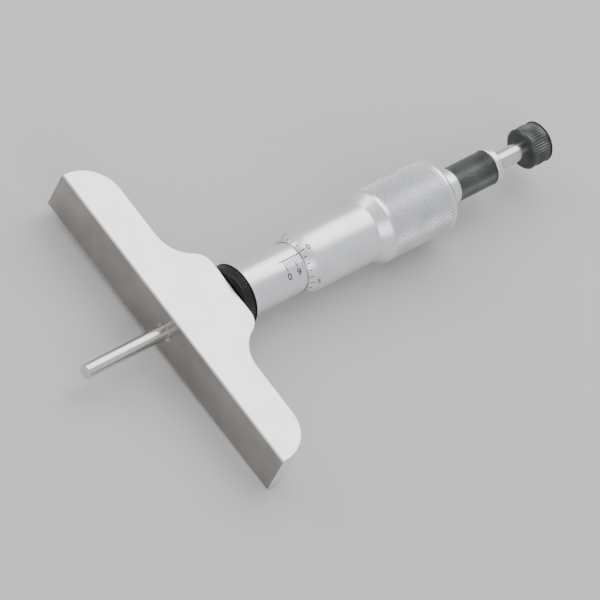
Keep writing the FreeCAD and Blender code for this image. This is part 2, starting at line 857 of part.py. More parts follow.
def make_knob():
    """The ratchet knob with its neck and the flatted stem that turns the driver."""
    body = new_body("ratchet_knob", STEM_TIP)
    stem = radius("stem_diameter")
    neck = radius("neck_diameter")
    grip = radius("knob_diameter")
    rim = size("knob_chamfer")
    neck_at = KNOB_NECK - STEM_TIP
    knob_at = neck_at + size("neck_length")
    end = knob_at + size("knob_length")
    tap = radius("stem_thread")
    tap_depth = size("stem_thread_length")
    dish = radius("dish_diameter")
    profile = [
        (ZERO, tap),
        (ZERO, stem),
        (neck_at, stem),
        (neck_at, neck),
        (knob_at, neck),
        (knob_at, grip - rim),
        (knob_at + rim, grip),
        (end - rim, grip),
        (end, grip - rim),
        (end, dish),
        (end - size("dish_depth"), dish),
        (end - size("dish_depth"), ZERO),
        (tap_depth, ZERO),
        (tap_depth, tap),
    ]
    turn(body, profile)
    flat = size("stem_flats") / 2
    reach = DRIVER_LENGTH + size("tooth_height") * 2
    two_flats(body, flat, stem, reach)


def make_stem_screw():
    """The screw that keeps the driver on the stem."""
    height = size("screw_head_height")
    body = new_body("stem_screw", STEM_TIP - height)
    head = radius("screw_head")
    thread = radius("stem_thread")
    end = height + size("stem_thread_length")
    profile = [
        (ZERO, ZERO),
        (ZERO, head),
        (height, head),
        (height, thread),
        (end, thread),
        (end, ZERO),
    ]
    turn(body, profile)
    slot = new_sketch(body, "slot", "YZ_Plane")
    half = size("driver_slot") / 2
    add_box(slot, -half, half, -head - OVERCUT, head + OVERCUT)
    pocket(body, slot, height / 2, "slot_cut", True)


# ---------------------------------------------------------------- the assembly

make_base()
make_barrel()
make_adjusting_nut()
make_lock_bush()
make_lock_roller()
make_lock_ring()
make_sleeve()
make_spindle()
make_thimble()
make_thimble_nut()
make_cap()
make_measuring_rod()
make_rod_nut("rod_adjusting_nut", ROD_SEAT, size("rod_nut_length"))
LOCK_NUT_START = ROD_SEAT + size("rod_nut_length")
make_rod_nut("rod_lock_nut", LOCK_NUT_START, WEB_START - LOCK_NUT_START)
make_ratchet_ring()
make_ratchet_driver()
make_ratchet_spring()
make_gland()
make_washer()
make_knob()
make_stem_screw()

DOC.recompute()
for item in DOC.Objects:
    if "Invalid" in item.State or "Error" in item.State:
        raise RuntimeError(f"{item.Name} failed: {item.State}")

os.makedirs("parts", exist_ok=True)
for item in DOC.Objects:
    if item.TypeId not in ("PartDesign::Body", "Part::Feature"):
        continue
    shape = item.Shape
    if shape.isNull() or not shape.isValid() or len(shape.Solids) != 1:
        raise RuntimeError(f"{item.Label} is not one valid solid")
    shape.exportStep(f"parts/{item.Label}.step")
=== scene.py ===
# %% [markdown]
# # A depth micrometer with its measuring rod
#
# A depth micrometer is a wide ground base, a screw that is read like any micrometer, and
# a thin rod that comes out of the base as the screw is turned. This notebook dresses the
# engineering model: it keeps the hidden parts, gives every part its metal, and remakes the
# parts that are seen with their knurls, rounded rims and engraved scales.
#
# First the engineering model is loaded. It is the fixed frame: metres, the measuring face
# in the plane x = 0, the screw along X, and the scale facing up, along Z.

import math

import bmesh
import bpy
from mathutils import Matrix, Vector


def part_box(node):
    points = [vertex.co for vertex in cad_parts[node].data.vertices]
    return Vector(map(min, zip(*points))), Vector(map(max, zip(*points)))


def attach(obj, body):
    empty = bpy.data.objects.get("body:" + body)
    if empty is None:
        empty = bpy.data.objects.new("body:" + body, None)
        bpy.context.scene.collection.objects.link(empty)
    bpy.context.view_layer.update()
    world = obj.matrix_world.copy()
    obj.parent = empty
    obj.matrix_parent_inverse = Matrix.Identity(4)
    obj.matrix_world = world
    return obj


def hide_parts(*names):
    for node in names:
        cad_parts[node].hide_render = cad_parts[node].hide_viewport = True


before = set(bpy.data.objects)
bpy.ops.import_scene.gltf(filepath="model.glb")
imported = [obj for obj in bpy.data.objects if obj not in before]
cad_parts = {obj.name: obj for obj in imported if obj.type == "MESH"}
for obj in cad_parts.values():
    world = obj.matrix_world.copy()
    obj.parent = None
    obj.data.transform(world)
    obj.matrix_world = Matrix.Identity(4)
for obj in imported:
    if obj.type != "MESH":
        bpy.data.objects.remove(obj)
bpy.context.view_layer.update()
MM = 0.001


# %% [markdown]
# Every place in this notebook comes from the parts' own boxes, in millimetres. A turned
# part is told by where it starts, where it ends and its largest radius.

# %% Measure the parts
def span(node):
    """Where a turned part starts and ends along the screw, and its radius, in mm."""
    low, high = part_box(node)
    return low.x / MM, high.x / MM, high.z / MM


LOCK_FRONT, LOCK_REAR, LOCK_RADIUS = span("lock_ring")
SLEEVE_FRONT, SLEEVE_REAR, SLEEVE_RADIUS = span("sleeve")
THIMBLE_EDGE, THIMBLE_REAR, GRIP_RADIUS = span("thimble")
CAP_FRONT, CAP_REAR, CAP_RADIUS = span("cap")
KNOB_FRONT, KNOB_END, KNOB_RADIUS = span("ratchet_knob")
BASE_LOW, BASE_HIGH = (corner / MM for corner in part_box("base"))
print("thimble edge", round(THIMBLE_EDGE, 3), "knob end", round(KNOB_END, 3))


# %% [markdown]
# ## The view
#
# The camera looks down on the scale from the side of the measuring face, rolled so that
# the micrometer lies across the view. It stands 1.5 m away with a long lens, so that
# the base hardly widens toward the viewer.

# %% Set the camera
CAMERA_RIGHT = Vector((0.74918, -0.58902, 0.30296))
CAMERA_UP = Vector((0.38507, 0.75947, 0.52433))
CAMERA_BACK = Vector((-0.53893, -0.27616, 0.79580))
CAMERA_DISTANCE = 1.5
AIM = Vector((33.7, -5.8, -4.1)) * MM

camera_data = bpy.data.cameras.new("camera")
camera_data.lens = 440
camera_data.clip_end = 20
camera = bpy.data.objects.new("camera", camera_data)
bpy.context.scene.collection.objects.link(camera)
turned_axes = Matrix((CAMERA_RIGHT, CAMERA_UP, CAMERA_BACK)).transposed()
camera.matrix_world = Matrix.Translation(AIM + CAMERA_BACK * CAMERA_DISTANCE) @ turned_axes.to_4x4()
bpy.context.scene.camera = camera
print("camera at", [round(c, 3) for c in camera.matrix_world.translation])


# %% [markdown]
# ## The table
#
# Laid down, the instrument rests on the lock ring, on the grip, and on one corner of the
# base, so it leans a little. The part stays square to its axes, and the table leans
# instead: its plane touches two circles and one corner.

# %% Find the plane that the instrument rests on
LOCK_CHAMFER, BASE_BEVEL, GRIP_LENGTH = 0.35, 0.35, 18.1
lock_x = LOCK_FRONT + LOCK_CHAMFER
grip_x = THIMBLE_REAR - GRIP_LENGTH
slope = (LOCK_RADIUS - GRIP_RADIUS) / (lock_x - grip_x)
corner = Vector((BASE_BEVEL, BASE_LOW.y + BASE_BEVEL, BASE_LOW.z))
reach = slope * (lock_x - corner.x) - LOCK_RADIUS
roll = math.asin(reach / -math.hypot(corner.y, corner.z)) - math.atan2(-corner.z, -corner.y)
table_normal = Vector((slope, math.sin(roll), math.cos(roll))).normalized()
table_height = table_normal.dot(corner)
print("table leans", [round(c, 4) for c in table_normal], "height mm", round(table_height, 3))


# %% Lay the table under it
def link(name, mesh):
    """A new object with this mesh, in the scene."""
    item = bpy.data.objects.new(name, mesh)
    bpy.context.scene.collection.objects.link(item)
    return item


table_shape = bmesh.new()
bmesh.ops.create_grid(table_shape, x_segments=1, y_segments=1, size=3.0)
lean = Vector((0, 0, 1)).rotation_difference(table_normal).to_matrix().to_4x4()
lean.translation = table_normal * (table_height - 0.02) * MM
bmesh.ops.transform(table_shape, matrix=lean, verts=table_shape.verts)
table_mesh = bpy.data.meshes.new("table")
table_shape.to_mesh(table_mesh)
table_shape.free()
table = link("table", table_mesh)
print("table laid")


# %% [markdown]
# ## The light
#
# Satin metal shows what stands round it, so the light is a few large soft boxes: one
# behind, which the ground side of the base and the tops of the round parts reflect, one at
# the left for the rims, and one in front for the near sides of the round parts. An even
# pale sky fills the rest.

# %% Hang the soft boxes
def soft_box(name, direction, distance, width, height, brightness):
    """A rectangular lamp that faces the instrument; brightness is how white its face is."""
    data = bpy.data.lights.new(name, "AREA")
    data.shape = "RECTANGLE"
    data.size = width
    data.size_y = height
    data.energy = brightness * math.pi * width * height
    lamp = bpy.data.objects.new(name, data)
    bpy.context.scene.collection.objects.link(lamp)
    toward = Vector(direction).normalized()
    facing = toward.to_track_quat("Z", "Y").to_matrix().to_4x4()
    lamp.matrix_world = Matrix.Translation(AIM + toward * distance) @ facing
    return lamp


soft_box("box_behind", (0.50, 0.35, 0.80), 0.70, 0.70, 0.60, 2.55)
soft_box("box_left", (-0.35, 0.85, 0.55), 0.80, 0.50, 0.40, 2.80)
soft_box("box_front", (-0.35, -0.75, 0.75), 0.90, 0.60, 0.50, 2.00)

world = bpy.data.worlds.new("sky")
world.use_nodes = True
sky = world.node_tree.nodes["Background"]
sky.inputs["Color"].default_value = (0.93, 0.96, 1.0, 1)
sky.inputs["Strength"].default_value = 0.88
bpy.context.scene.world = world


# %% [markdown]
# ## The metals
#
# Each finish is a node material on Object coordinates, so its grain has a real size: a
# Mapping node turns metres into millimetres and stretches the noise along the tool marks.
# Turning leaves rings round the screw, grinding leaves straight lines along the base.
# A helper makes the shader and the parts that every metal shares.

# %% A helper for the metals
def metal(name, dark, light, rough, grain, grain_depth, edge, edge_width=0.12):
    """A metal whose colour wanders between two tones, with tool marks and brighter edges.

    grain stretches the tool marks: how many per millimetre along x, y and z.
    """
    material = bpy.data.materials.new(name)
    material.use_nodes = True
    nodes, wire = material.node_tree.nodes, material.node_tree.links.new
    shader = nodes["Principled BSDF"]
    shader.inputs["Metallic"].default_value = 1.0
    place = nodes.new("ShaderNodeTexCoord")
    marks_place = nodes.new("ShaderNodeMapping")
    marks_place.inputs["Scale"].default_value = [each / MM for each in grain]
    wire(place.outputs["Object"], marks_place.inputs["Vector"])
    marks = nodes.new("ShaderNodeTexNoise")
    marks.inputs["Scale"].default_value = 1.0
    marks.inputs["Detail"].default_value = 3.0
    wire(marks_place.outputs["Vector"], marks.inputs["Vector"])
    clouds = nodes.new("ShaderNodeTexNoise")
    clouds.inputs["Scale"].default_value = 0.16 / MM
    clouds.inputs["Detail"].default_value = 4.0
    wire(place.outputs["Object"], clouds.inputs["Vector"])
    specks = nodes.new("ShaderNodeTexNoise")
    specks.inputs["Scale"].default_value = 6.0 / MM
    specks.inputs["Detail"].default_value = 2.0
    wire(place.outputs["Object"], specks.inputs["Vector"])

    tone = nodes.new("ShaderNodeMath")
    tone.operation = "MULTIPLY_ADD"
    tone.inputs[1].default_value = 0.45
    wire(marks.outputs["Fac"], tone.inputs[0])
    wire(clouds.outputs["Fac"], tone.inputs[2])
    ramp = nodes.new("ShaderNodeValToRGB")
    ramp.color_ramp.elements[0].position = 0.45
    ramp.color_ramp.elements[0].color = (*dark, 1)
    ramp.color_ramp.elements[1].position = 0.95
    ramp.color_ramp.elements[1].color = (*light, 1)
    wire(tone.outputs[0], ramp.inputs["Fac"])

    rounded = nodes.new("ShaderNodeBevel")
    rounded.samples = 4
    rounded.inputs["Radius"].default_value = edge_width * MM
    flat = nodes.new("ShaderNodeNewGeometry")
    alike = nodes.new("ShaderNodeVectorMath")
    alike.operation = "DOT_PRODUCT"
    wire(rounded.outputs["Normal"], alike.inputs[0])
    wire(flat.outputs["Normal"], alike.inputs[1])
    worn = nodes.new("ShaderNodeMapRange")
    worn.inputs["From Min"].default_value = 0.995
    worn.inputs["From Max"].default_value = 0.90
    wire(alike.outputs["Value"], worn.inputs["Value"])
    patchy = nodes.new("ShaderNodeMath")
    patchy.operation = "MULTIPLY"
    wire(worn.outputs[0], patchy.inputs[0])
    wire(clouds.outputs["Fac"], patchy.inputs[1])
    colour = nodes.new("ShaderNodeMix")
    colour.data_type = "RGBA"
    colour.inputs["B"].default_value = (*edge, 1)
    wire(patchy.outputs[0], colour.inputs["Factor"])
    wire(ramp.outputs["Color"], colour.inputs["A"])
    wire(colour.outputs["Result"], shader.inputs["Base Color"])

    roughness = nodes.new("ShaderNodeMapRange")
    roughness.inputs["From Min"].default_value = 0.3
    roughness.inputs["From Max"].default_value = 0.7
    roughness.inputs["To Min"].default_value = rough[0]
    roughness.inputs["To Max"].default_value = rough[1]
    wire(specks.outputs["Fac"], roughness.inputs["Value"])
    wire(roughness.outputs[0], shader.inputs["Roughness"])

    relief = nodes.new("ShaderNodeBump")
    relief.inputs["Strength"].default_value = 0.35
    relief.inputs["Distance"].default_value = grain_depth * MM
    both = nodes.new("ShaderNodeMath")
    both.operation = "MULTIPLY_ADD"
    both.inputs[1].default_value = 0.35
    wire(specks.outputs["Fac"], both.inputs[0])
    wire(marks.outputs["Fac"], both.inputs[2])
    wire(both.outputs[0], relief.inputs["Height"])
    wire(relief.outputs["Normal"], shader.inputs["Normal"])
    return material


# %% [markdown]
# The grain of a turned part runs round the screw, so its noise changes quickly along X
# and hardly at all across it. The base is ground lengthwise, along Y. The measuring face
# is lapped, which leaves it greyer and even; its colour is also painted darker and warm,
# a painted reflection of dark surroundings. The lock ring's metal is near black, a little
# brown, and lighter on the tips of the knurl.

# %% Make the finishes
RINGS = (9.0, 0.25, 0.25)
ALONG_BASE = (9.0, 0.3, 9.0)
EVEN = (7.0, 7.0, 7.0)
finishes = {
    "satin_chrome": metal(
        "satin_chrome", (0.77, 0.77, 0.80), (0.89, 0.89, 0.92), (0.27, 0.38),
        RINGS, 0.006, (0.93, 0.93, 0.95),
    ),
    "base_chrome": metal(
        "base_chrome", (0.78, 0.77, 0.77), (0.92, 0.91, 0.91), (0.30, 0.42),
        ALONG_BASE, 0.008, (0.95, 0.95, 0.96), 0.25,
    ),
    "knurled_chrome": metal(
        "knurled_chrome", (0.55, 0.55, 0.57), (0.70, 0.70, 0.73), (0.34, 0.44),
        EVEN, 0.006, (0.90, 0.90, 0.92), 0.06,
    ),
    # The measuring face's finish: grey lapped steel, painted darker and warm as a painted reflection of
    # dark surroundings.
    "lapped_steel_painted_reflection": metal(
        "lapped_steel_painted_reflection", (0.31, 0.29, 0.275), (0.40, 0.38, 0.365), (0.26, 0.36),
        EVEN, 0.004, (0.78, 0.76, 0.74), 0.2,
    ),
    "ground_steel": metal(
        "ground_steel", (0.60, 0.57, 0.55), (0.74, 0.71, 0.69), (0.16, 0.26),
        RINGS, 0.003, (0.85, 0.83, 0.81),
    ),
    "hardened_steel": metal(
        "hardened_steel", (0.36, 0.36, 0.37), (0.48, 0.48, 0.49), (0.28, 0.42),
        RINGS, 0.006, (0.65, 0.65, 0.66),
    ),
    # The lock ring: near black, a little brown, lighter on its rounded edges.
    "black_steel": metal(
        "black_steel", (0.018, 0.018, 0.020), (0.045, 0.043, 0.042), (0.34, 0.48),
        EVEN, 0.006, (0.26, 0.25, 0.24), 0.05,
    ),
    # The cap's knurled band and the knob's grip: dark greenish steel, its darkness a painted reflection
    # of dark surroundings. The hidden nut and screw take it too.
    "dark_steel": metal(
        "dark_steel", (0.048, 0.055, 0.052), (0.105, 0.116, 0.110), (0.30, 0.42),
        EVEN, 0.006, (0.42, 0.43, 0.42), 0.05,
    ),
    "bronze": metal(
        "bronze", (0.50, 0.33, 0.16), (0.64, 0.44, 0.24), (0.30, 0.42),
        RINGS, 0.006, (0.78, 0.60, 0.38),
    ),
}
print("finishes:", sorted(finishes))


# %% [markdown]
# The marks of a scale are cut into the metal and filled with a black lacquer, which sits
# dull in the groove.

# %% Make the lacquer of the marks
def lacquer(name, deep, dusty):
    """Dull black filling, a little dusty, for engraved lines and numbers."""
    material = bpy.data.materials.new(name)
    material.use_nodes = True
    nodes, wire = material.node_tree.nodes, material.node_tree.links.new
    shader = nodes["Principled BSDF"]
    place = nodes.new("ShaderNodeTexCoord")
    dust = nodes.new("ShaderNodeTexNoise")
    dust.inputs["Scale"].default_value = 5.0 / MM
    dust.inputs["Detail"].default_value = 3.0
    wire(place.outputs["Object"], dust.inputs["Vector"])
    ramp = nodes.new("ShaderNodeValToRGB")
    ramp.color_ramp.elements[0].color = (*deep, 1)
    ramp.color_ramp.elements[0].position = 0.35
    ramp.color_ramp.elements[1].color = (*dusty, 1)
    ramp.color_ramp.elements[1].position = 0.75
    wire(dust.outputs["Fac"], ramp.inputs["Fac"])
    wire(ramp.outputs["Color"], shader.inputs["Base Color"])
    sheen = nodes.new("ShaderNodeMapRange")
    sheen.inputs["To Min"].default_value = 0.45
    sheen.inputs["To Max"].default_value = 0.75
    wire(dust.outputs["Fac"], sheen.inputs["Value"])
    wire(sheen.outputs[0], shader.inputs["Roughness"])
    relief = nodes.new("ShaderNodeBump")
    relief.inputs["Strength"].default_value = 0.3
    relief.inputs["Distance"].default_value = 0.01 * MM
    wire(dust.outputs["Fac"], relief.inputs["Height"])
    wire(relief.outputs["Normal"], shader.inputs["Normal"])
    return material


black_lacquer = lacquer("black_lacquer", (0.008, 0.008, 0.010), (0.035, 0.033, 0.032))
print("lacquer:", black_lacquer.name)


# %% [markdown]
# The table is a plain pale board with a soft, barely uneven surface.

# %% Finish the table
board = bpy.data.materials.new("pale_board")
board.use_nodes = True
board_nodes, board_wire = board.node_tree.nodes, board.node_tree.links.new
board_shader = board_nodes["Principled BSDF"]
board_shader.inputs["Specular IOR Level"].default_value = 0.2
board_place = board_nodes.new("ShaderNodeTexCoord")
board_noise = board_nodes.new("ShaderNodeTexNoise")
board_noise.inputs["Scale"].default_value = 12.0
board_wire(board_place.outputs["Object"], board_noise.inputs["Vector"])
board_ramp = board_nodes.new("ShaderNodeValToRGB")
board_ramp.color_ramp.elements[0].color = (0.53, 0.52, 0.505, 1)
board_ramp.color_ramp.elements[1].color = (0.58, 0.57, 0.555, 1)
board_wire(board_noise.outputs["Fac"], board_ramp.inputs["Fac"])
board_wire(board_ramp.outputs["Color"], board_shader.inputs["Base Color"])
board_shader.inputs["Roughness"].default_value = 0.8
table.data.materials.append(board)
print("table finished")


# %% [markdown]
# ## Turned parts
#
# Most of a micrometer comes off a lathe. The lathe here is bmesh's spin: a closed outline
# of points, along and away from the screw, is swept once round the X axis with its ends
# merged. Sharp rings are then bevelled, because a real rim always catches a line of light.

# %% A helper that turns an outline
def turned(outline, steps=128):
    """Spins a closed outline of (along, radius) points in mm into a solid."""
    shape = bmesh.new()
    points = [shape.verts.new((along * MM, radius * MM, 0)) for along, radius in outline]
    edges = []
    for here, there in zip(points, points[1:] + points[:1]):
        if here.co.y > 0 or there.co.y > 0:
            edges.append(shape.edges.new((here, there)))
    bmesh.ops.spin(
        shape, geom=points + edges, cent=(0, 0, 0), axis=(1, 0, 0),
        angle=2 * math.pi, steps=steps, use_merge=True,
    )
    bmesh.ops.remove_doubles(shape, verts=shape.verts, dist=0.0002 * MM)
    bmesh.ops.recalc_face_normals(shape, faces=shape.faces)
    return shape


def round_rims(shape, width, beyond):
    """Bevels the sharp rims that lie farther from the screw than beyond, in mm."""
    sharp = []
    for edge in shape.edges:
        outside = min(point.co.yz.length for point in edge.verts) > beyond * MM
        if outside and edge.calc_face_angle(0) > math.radians(20):
            sharp.append(edge)
    bmesh.ops.bevel(
        shape, geom=sharp, offset=width * MM, offset_type="OFFSET", affect="EDGES",
        segments=2, profile=0.5, material=-1, clamp_overlap=True,
    )
    return len(sharp)


# %% [markdown]
# A diamond knurl is two crossing sets of grooves. On a grid of rings and steps it needs no
# extra points: every second point is pressed in, like a chessboard, and each square is
# split along its low diagonal, which leaves four-sided pyramids. A straight knurl presses
# in every second step all along. Both keep their outer radius.

# %% Helpers that knurl a band
def ring_rows(start, end, radius, spacing):
    """Outline points for the rings of a knurled band, evenly spaced."""
    count = max(2, round((end - start) / spacing))
    return [(start + (end - start) * row / count, radius) for row in range(count + 1)]


def knurl(shape, rows, steps, depth, crossed=True):
    """Presses a diamond or straight knurl into the rings of a band, to a depth in mm."""
    start, radius = rows[0]
    pitch = rows[1][0] - start
    last = len(rows) - 1
    inside = []
    for point in shape.verts:
        row = (point.co.x / MM - start) / pitch
        if -0.01 < row < last + 0.01 and abs(point.co.yz.length / MM - radius) < 0.01:
            inside.append(point)
            row = round(row)
            step = round(math.atan2(point.co.z, point.co.y) / (2 * math.pi) * steps)
            low = (row + step) % 2 if crossed else step % 2
            if low or row in (0, last):
                away = Vector((0, point.co.y, point.co.z))
                point.co -= away.normalized() * depth * MM
    held = set(inside)
    squares = [f for f in shape.faces if all(v in held for v in f.verts)]
    bmesh.ops.triangulate(shape, faces=squares, quad_method="SHORT_EDGE")
    for face in shape.faces:
        if all(v in held for v in face.verts):
            face.smooth = False
    return len(inside)


# %% [markdown]
# A finished shape becomes an object at the origin, with its place in its mesh. Smooth
# shading is kept off the knurl's facets and off sharp corners.

# %% A helper that finishes a piece
def finish(shape, name, body, node, materials):
    """Turns a shape into a piece that rides on a body and stands for a part."""
    mesh = bpy.data.meshes.new(name)
    shape.to_mesh(mesh)
    shape.free()
    piece = link(name, mesh)
    for material in materials:
        mesh.materials.append(material)
    mesh.set_sharp_from_angle(angle=math.radians(35))
    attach(piece, body)
    if node:
        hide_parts(node)
    print(name, "faces:", len(mesh.polygons))
    return piece


def smooth(shape):
    """Smooth shading on every face of a shape."""
    for face in shape.faces:
        face.smooth = True


def steady_normals(piece):
    """Lets the large flat faces set the shading, so that rounded rims stay narrow."""
    modifier = piece.modifiers.new("steady_normals", "WEIGHTED_NORMAL")
    modifier.keep_sharp = True
    modifier.weight = 100


def cut_away(piece, cutter_shape):
    """Cuts a shape out of a piece, with the cut made final."""
    mesh = bpy.data.meshes.new("cutter")
    cutter_shape.to_mesh(mesh)
    cutter_shape.free()
    cutter = link("cutter", mesh)
    modifier = piece.modifiers.new("cut", "BOOLEAN")
    modifier.object = cutter
    modifier.solver = "EXACT"
    bpy.context.view_layer.update()
    result = bpy.data.meshes.new_from_object(piece.evaluated_get(bpy.context.evaluated_depsgraph_get()))
    piece.modifiers.remove(modifier)
    piece.data = result
    bpy.data.objects.remove(cutter)
    result.set_sharp_from_angle(angle=math.radians(35))
    return piece


# %% [markdown]
# ## The base
#
# The base is one bar, ground flat on its sides and lapped on the measuring face. From the
# front its back edge is an ogee: round ends, a straight saddle, a hollow and a shoulder up
# to the flat crown under the lock ring. Half the outline is drawn by spinning single points
# round the centres of the arcs. It is mirrored, filled and pulled to the base's width.

# %% Draw the outline of the base
HALF_LENGTH = BASE_HIGH.y
CROWN = BASE_HIGH.x
LAND, END_ROUND = 0.9, 8.4
FOOT, HOLLOW, CROWN_HALF = 17.5, 8.0, 6.5
SADDLE = LAND + END_ROUND
rise, spread = CROWN - SADDLE, FOOT - CROWN_HALF
SHOULDER = (rise * rise + spread * spread) / (rise * 2) - HOLLOW
SWEEP = math.atan2(spread, SADDLE + HOLLOW - CROWN + SHOULDER)

base_shape = bmesh.new()


def corner_at(x, y, before=None):
    """A point of the outline, joined to the one before it."""
    point = base_shape.verts.new((x * MM, y * MM, BASE_LOW.z * MM))
    if before:
        base_shape.edges.new((before, point))
    return point


def arc_from(point, x, y, angle, steps):
    """Sweeps a point of the outline round a centre, and gives the arc's last point."""
    swept = bmesh.ops.spin(
        base_shape, geom=[point], cent=(x * MM, y * MM, BASE_LOW.z * MM),
        axis=(0, 0, 1), angle=angle, steps=steps,
    )
    return swept["geom_last"][0]


start = corner_at(0, 0)
edge = corner_at(0, HALF_LENGTH, start)
edge = corner_at(LAND, HALF_LENGTH, edge)
edge = arc_from(edge, LAND, HALF_LENGTH - END_ROUND, -math.pi / 2, 20)
edge = corner_at(SADDLE, FOOT, edge)
edge = arc_from(edge, SADDLE + HOLLOW, FOOT, SWEEP, 12)
edge = arc_from(edge, CROWN - SHOULDER, CROWN_HALF, -SWEEP, 12)
edge = corner_at(CROWN, 0, edge)
print("outline points:", len(base_shape.verts))


# %% Fill, thicken and round the base
bmesh.ops.remove_doubles(base_shape, verts=base_shape.verts, dist=0.001 * MM)
bmesh.ops.mirror(
    base_shape, geom=base_shape.verts[:] + base_shape.edges[:], axis="Y", merge_dist=0.001 * MM
)
bmesh.ops.dissolve_verts(base_shape, verts=[v for v in base_shape.verts if abs(v.co.y) < 1e-7])
bmesh.ops.contextual_create(base_shape, geom=base_shape.edges[:])
pulled = bmesh.ops.extrude_face_region(base_shape, geom=base_shape.faces[:])
risen = [item for item in pulled["geom"] if isinstance(item, bmesh.types.BMVert)]
bmesh.ops.translate(base_shape, verts=risen, vec=(0, 0, (BASE_HIGH.z - BASE_LOW.z) * MM))
bmesh.ops.recalc_face_normals(base_shape, faces=base_shape.faces)
rims = []
for rim in base_shape.edges:
    level = abs(rim.verts[0].co.z - rim.verts[1].co.z) < 1e-7
    if level and rim.calc_face_angle(0) > math.radians(60):
        rims.append(rim)
bmesh.ops.bevel(
    base_shape, geom=rims, offset=BASE_BEVEL * MM, offset_type="OFFSET", affect="EDGES",
    segments=3, profile=0.5, material=-1, clamp_overlap=True,
)
smooth(base_shape)
base = finish(
    base_shape, "base_block", "frame", "base",
    [finishes["base_chrome"], finishes["lapped_steel_painted_reflection"]],
)


# %% [markdown]
# The bore is cut last: a clearance hole for the rod with a small countersink in the
# measuring face, and the seat of the barrel from the crown. The face that points straight
# down the rod takes the lapped finish, grey steel painted darker and warm as a painted
# reflection of dark surroundings.

# %% Bore the base and give its face the lapped steel with its painted dark reflection
ROD_HOLE, COUNTERSINK, SEAT_FLOOR, SEAT = 1.6375, 0.35, CROWN - 11.0, 4.0
bore = turned([
    (-0.5, 0), (-0.5, ROD_HOLE + COUNTERSINK + 0.5), (COUNTERSINK, ROD_HOLE), (SEAT_FLOOR, ROD_HOLE),
    (SEAT_FLOOR, SEAT), (CROWN + 0.5, SEAT), (CROWN + 0.5, 0),
], 96)
cut_away(base, bore)
# The measuring face takes the lapped steel colour, which is partly a painted dark reflection.
for face in base.data.polygons:
    if face.normal.x < -0.999 and face.center.x < 0.01 * MM:
        face.material_index = 1
steady_normals(base)
print("base faces:", len(base.data.polygons))


# %% [markdown]
# ## The lock ring
#
# The black knurled ring under the sleeve clamps the screw when it is turned: its bore is a
# cam over a roller. The rim is turned and knurled, and the bore's points are moved out to
# the cam's circle, half a millimetre off centre.

# %% Turn and knurl the lock ring
LOCK_BORE, CAM_RADIUS, CAM_OFFSET = 4.55, 4.6, 0.5
LOCK_STEPS = 112
lock_rows = ring_rows(LOCK_FRONT + 0.5, LOCK_REAR - 0.5, LOCK_RADIUS, 0.4)
lock_shape = turned([
    (LOCK_FRONT, LOCK_BORE),
    (LOCK_FRONT, LOCK_RADIUS - LOCK_CHAMFER),
    (LOCK_FRONT + LOCK_CHAMFER, LOCK_RADIUS),
    *lock_rows,
    (LOCK_REAR - LOCK_CHAMFER, LOCK_RADIUS),
    (LOCK_REAR, LOCK_RADIUS - LOCK_CHAMFER),
    (LOCK_REAR, LOCK_BORE),
], LOCK_STEPS)
for point in lock_shape.verts:
    if point.co.yz.length < CAM_RADIUS * MM:
        angle = math.atan2(point.co.z, point.co.y)
        across = CAM_OFFSET * math.cos(angle)
        away = CAM_OFFSET * math.sin(angle) + math.sqrt(CAM_RADIUS**2 - across**2)
        away = max(LOCK_BORE, away) * MM
        point.co.y, point.co.z = away * math.cos(angle), away * math.sin(angle)
round_rims(lock_shape, 0.08, 4.8)
smooth(lock_shape)
knurl(lock_shape, lock_rows, LOCK_STEPS, 0.2)
finish(
    lock_shape, "lock_ring_knurled", "lock", "lock_ring", [finishes["black_steel"]]
)


# %% [markdown]
# ## The sleeve
#
# The graduated sleeve is a plain satin tube with a small hole for the spanner that sets
# zero. It is turned, and the hole is cut through its wall on the side away from the scale.

# %% Turn the sleeve
SLEEVE_BORE = 4.525
sleeve_shape = turned([
    (SLEEVE_FRONT, SLEEVE_BORE),
    (SLEEVE_FRONT, SLEEVE_RADIUS - 0.25),
    (SLEEVE_FRONT + 0.25, SLEEVE_RADIUS),
    (SLEEVE_REAR, SLEEVE_RADIUS), (SLEEVE_REAR, SLEEVE_BORE),
], 128)
round_rims(sleeve_shape, 0.06, 5.0)
smooth(sleeve_shape)
sleeve = finish(
    sleeve_shape, "sleeve_tube", "scale", "sleeve", [finishes["satin_chrome"]]
)
drill = bmesh.new()
HOLE_RADIUS = 0.8 * MM
bmesh.ops.create_cone(
    drill, cap_ends=True, segments=48, radius1=HOLE_RADIUS, radius2=HOLE_RADIUS, depth=4 * MM
)
bmesh.ops.translate(drill, verts=drill.verts, vec=((SLEEVE_FRONT + 3.2) * MM, 0, -5.5 * MM))
cut_away(sleeve, drill)
print("sleeve faces:", len(sleeve.data.polygons))


# %% [markdown]
# ## The scales
#
# Forty lines to the inch cross the sleeve, every fourth longer and numbered from 0 at the
# thimble's end, because a depth micrometer counts toward its base. The thimble's bevel has
# 25 lines, one for each thousandth. Each mark is a thin bar made flat and then wrapped
# round the metal, a hair proud of it. Numbers start as text, become a mesh, and are sliced
# into strips first, so that they bend without sinking into the metal.

# %% Helpers that wrap marks round the metal
PROUD, SUNK = 0.012, -0.05


def bar(shape, x, y, width, length, cuts):
    """A thin bar, its middle at x and y in mm, cut across so that it can bend."""
    made = bmesh.ops.create_cube(shape, size=1.0)
    size = Matrix.Diagonal((width * MM, length * MM, (PROUD - SUNK) * MM, 1))
    place = Matrix.Translation(Vector((x, y, (PROUD + SUNK) / 2)) * MM)
    bmesh.ops.transform(shape, matrix=place @ size, verts=made["verts"])
    touching = {edge for point in made["verts"] for edge in point.link_edges}
    lengthwise = [e for e in touching if abs(e.verts[0].co.y - e.verts[1].co.y) > 1e-8]
    if cuts:
        bmesh.ops.subdivide_edges(shape, edges=lengthwise, cuts=cuts)


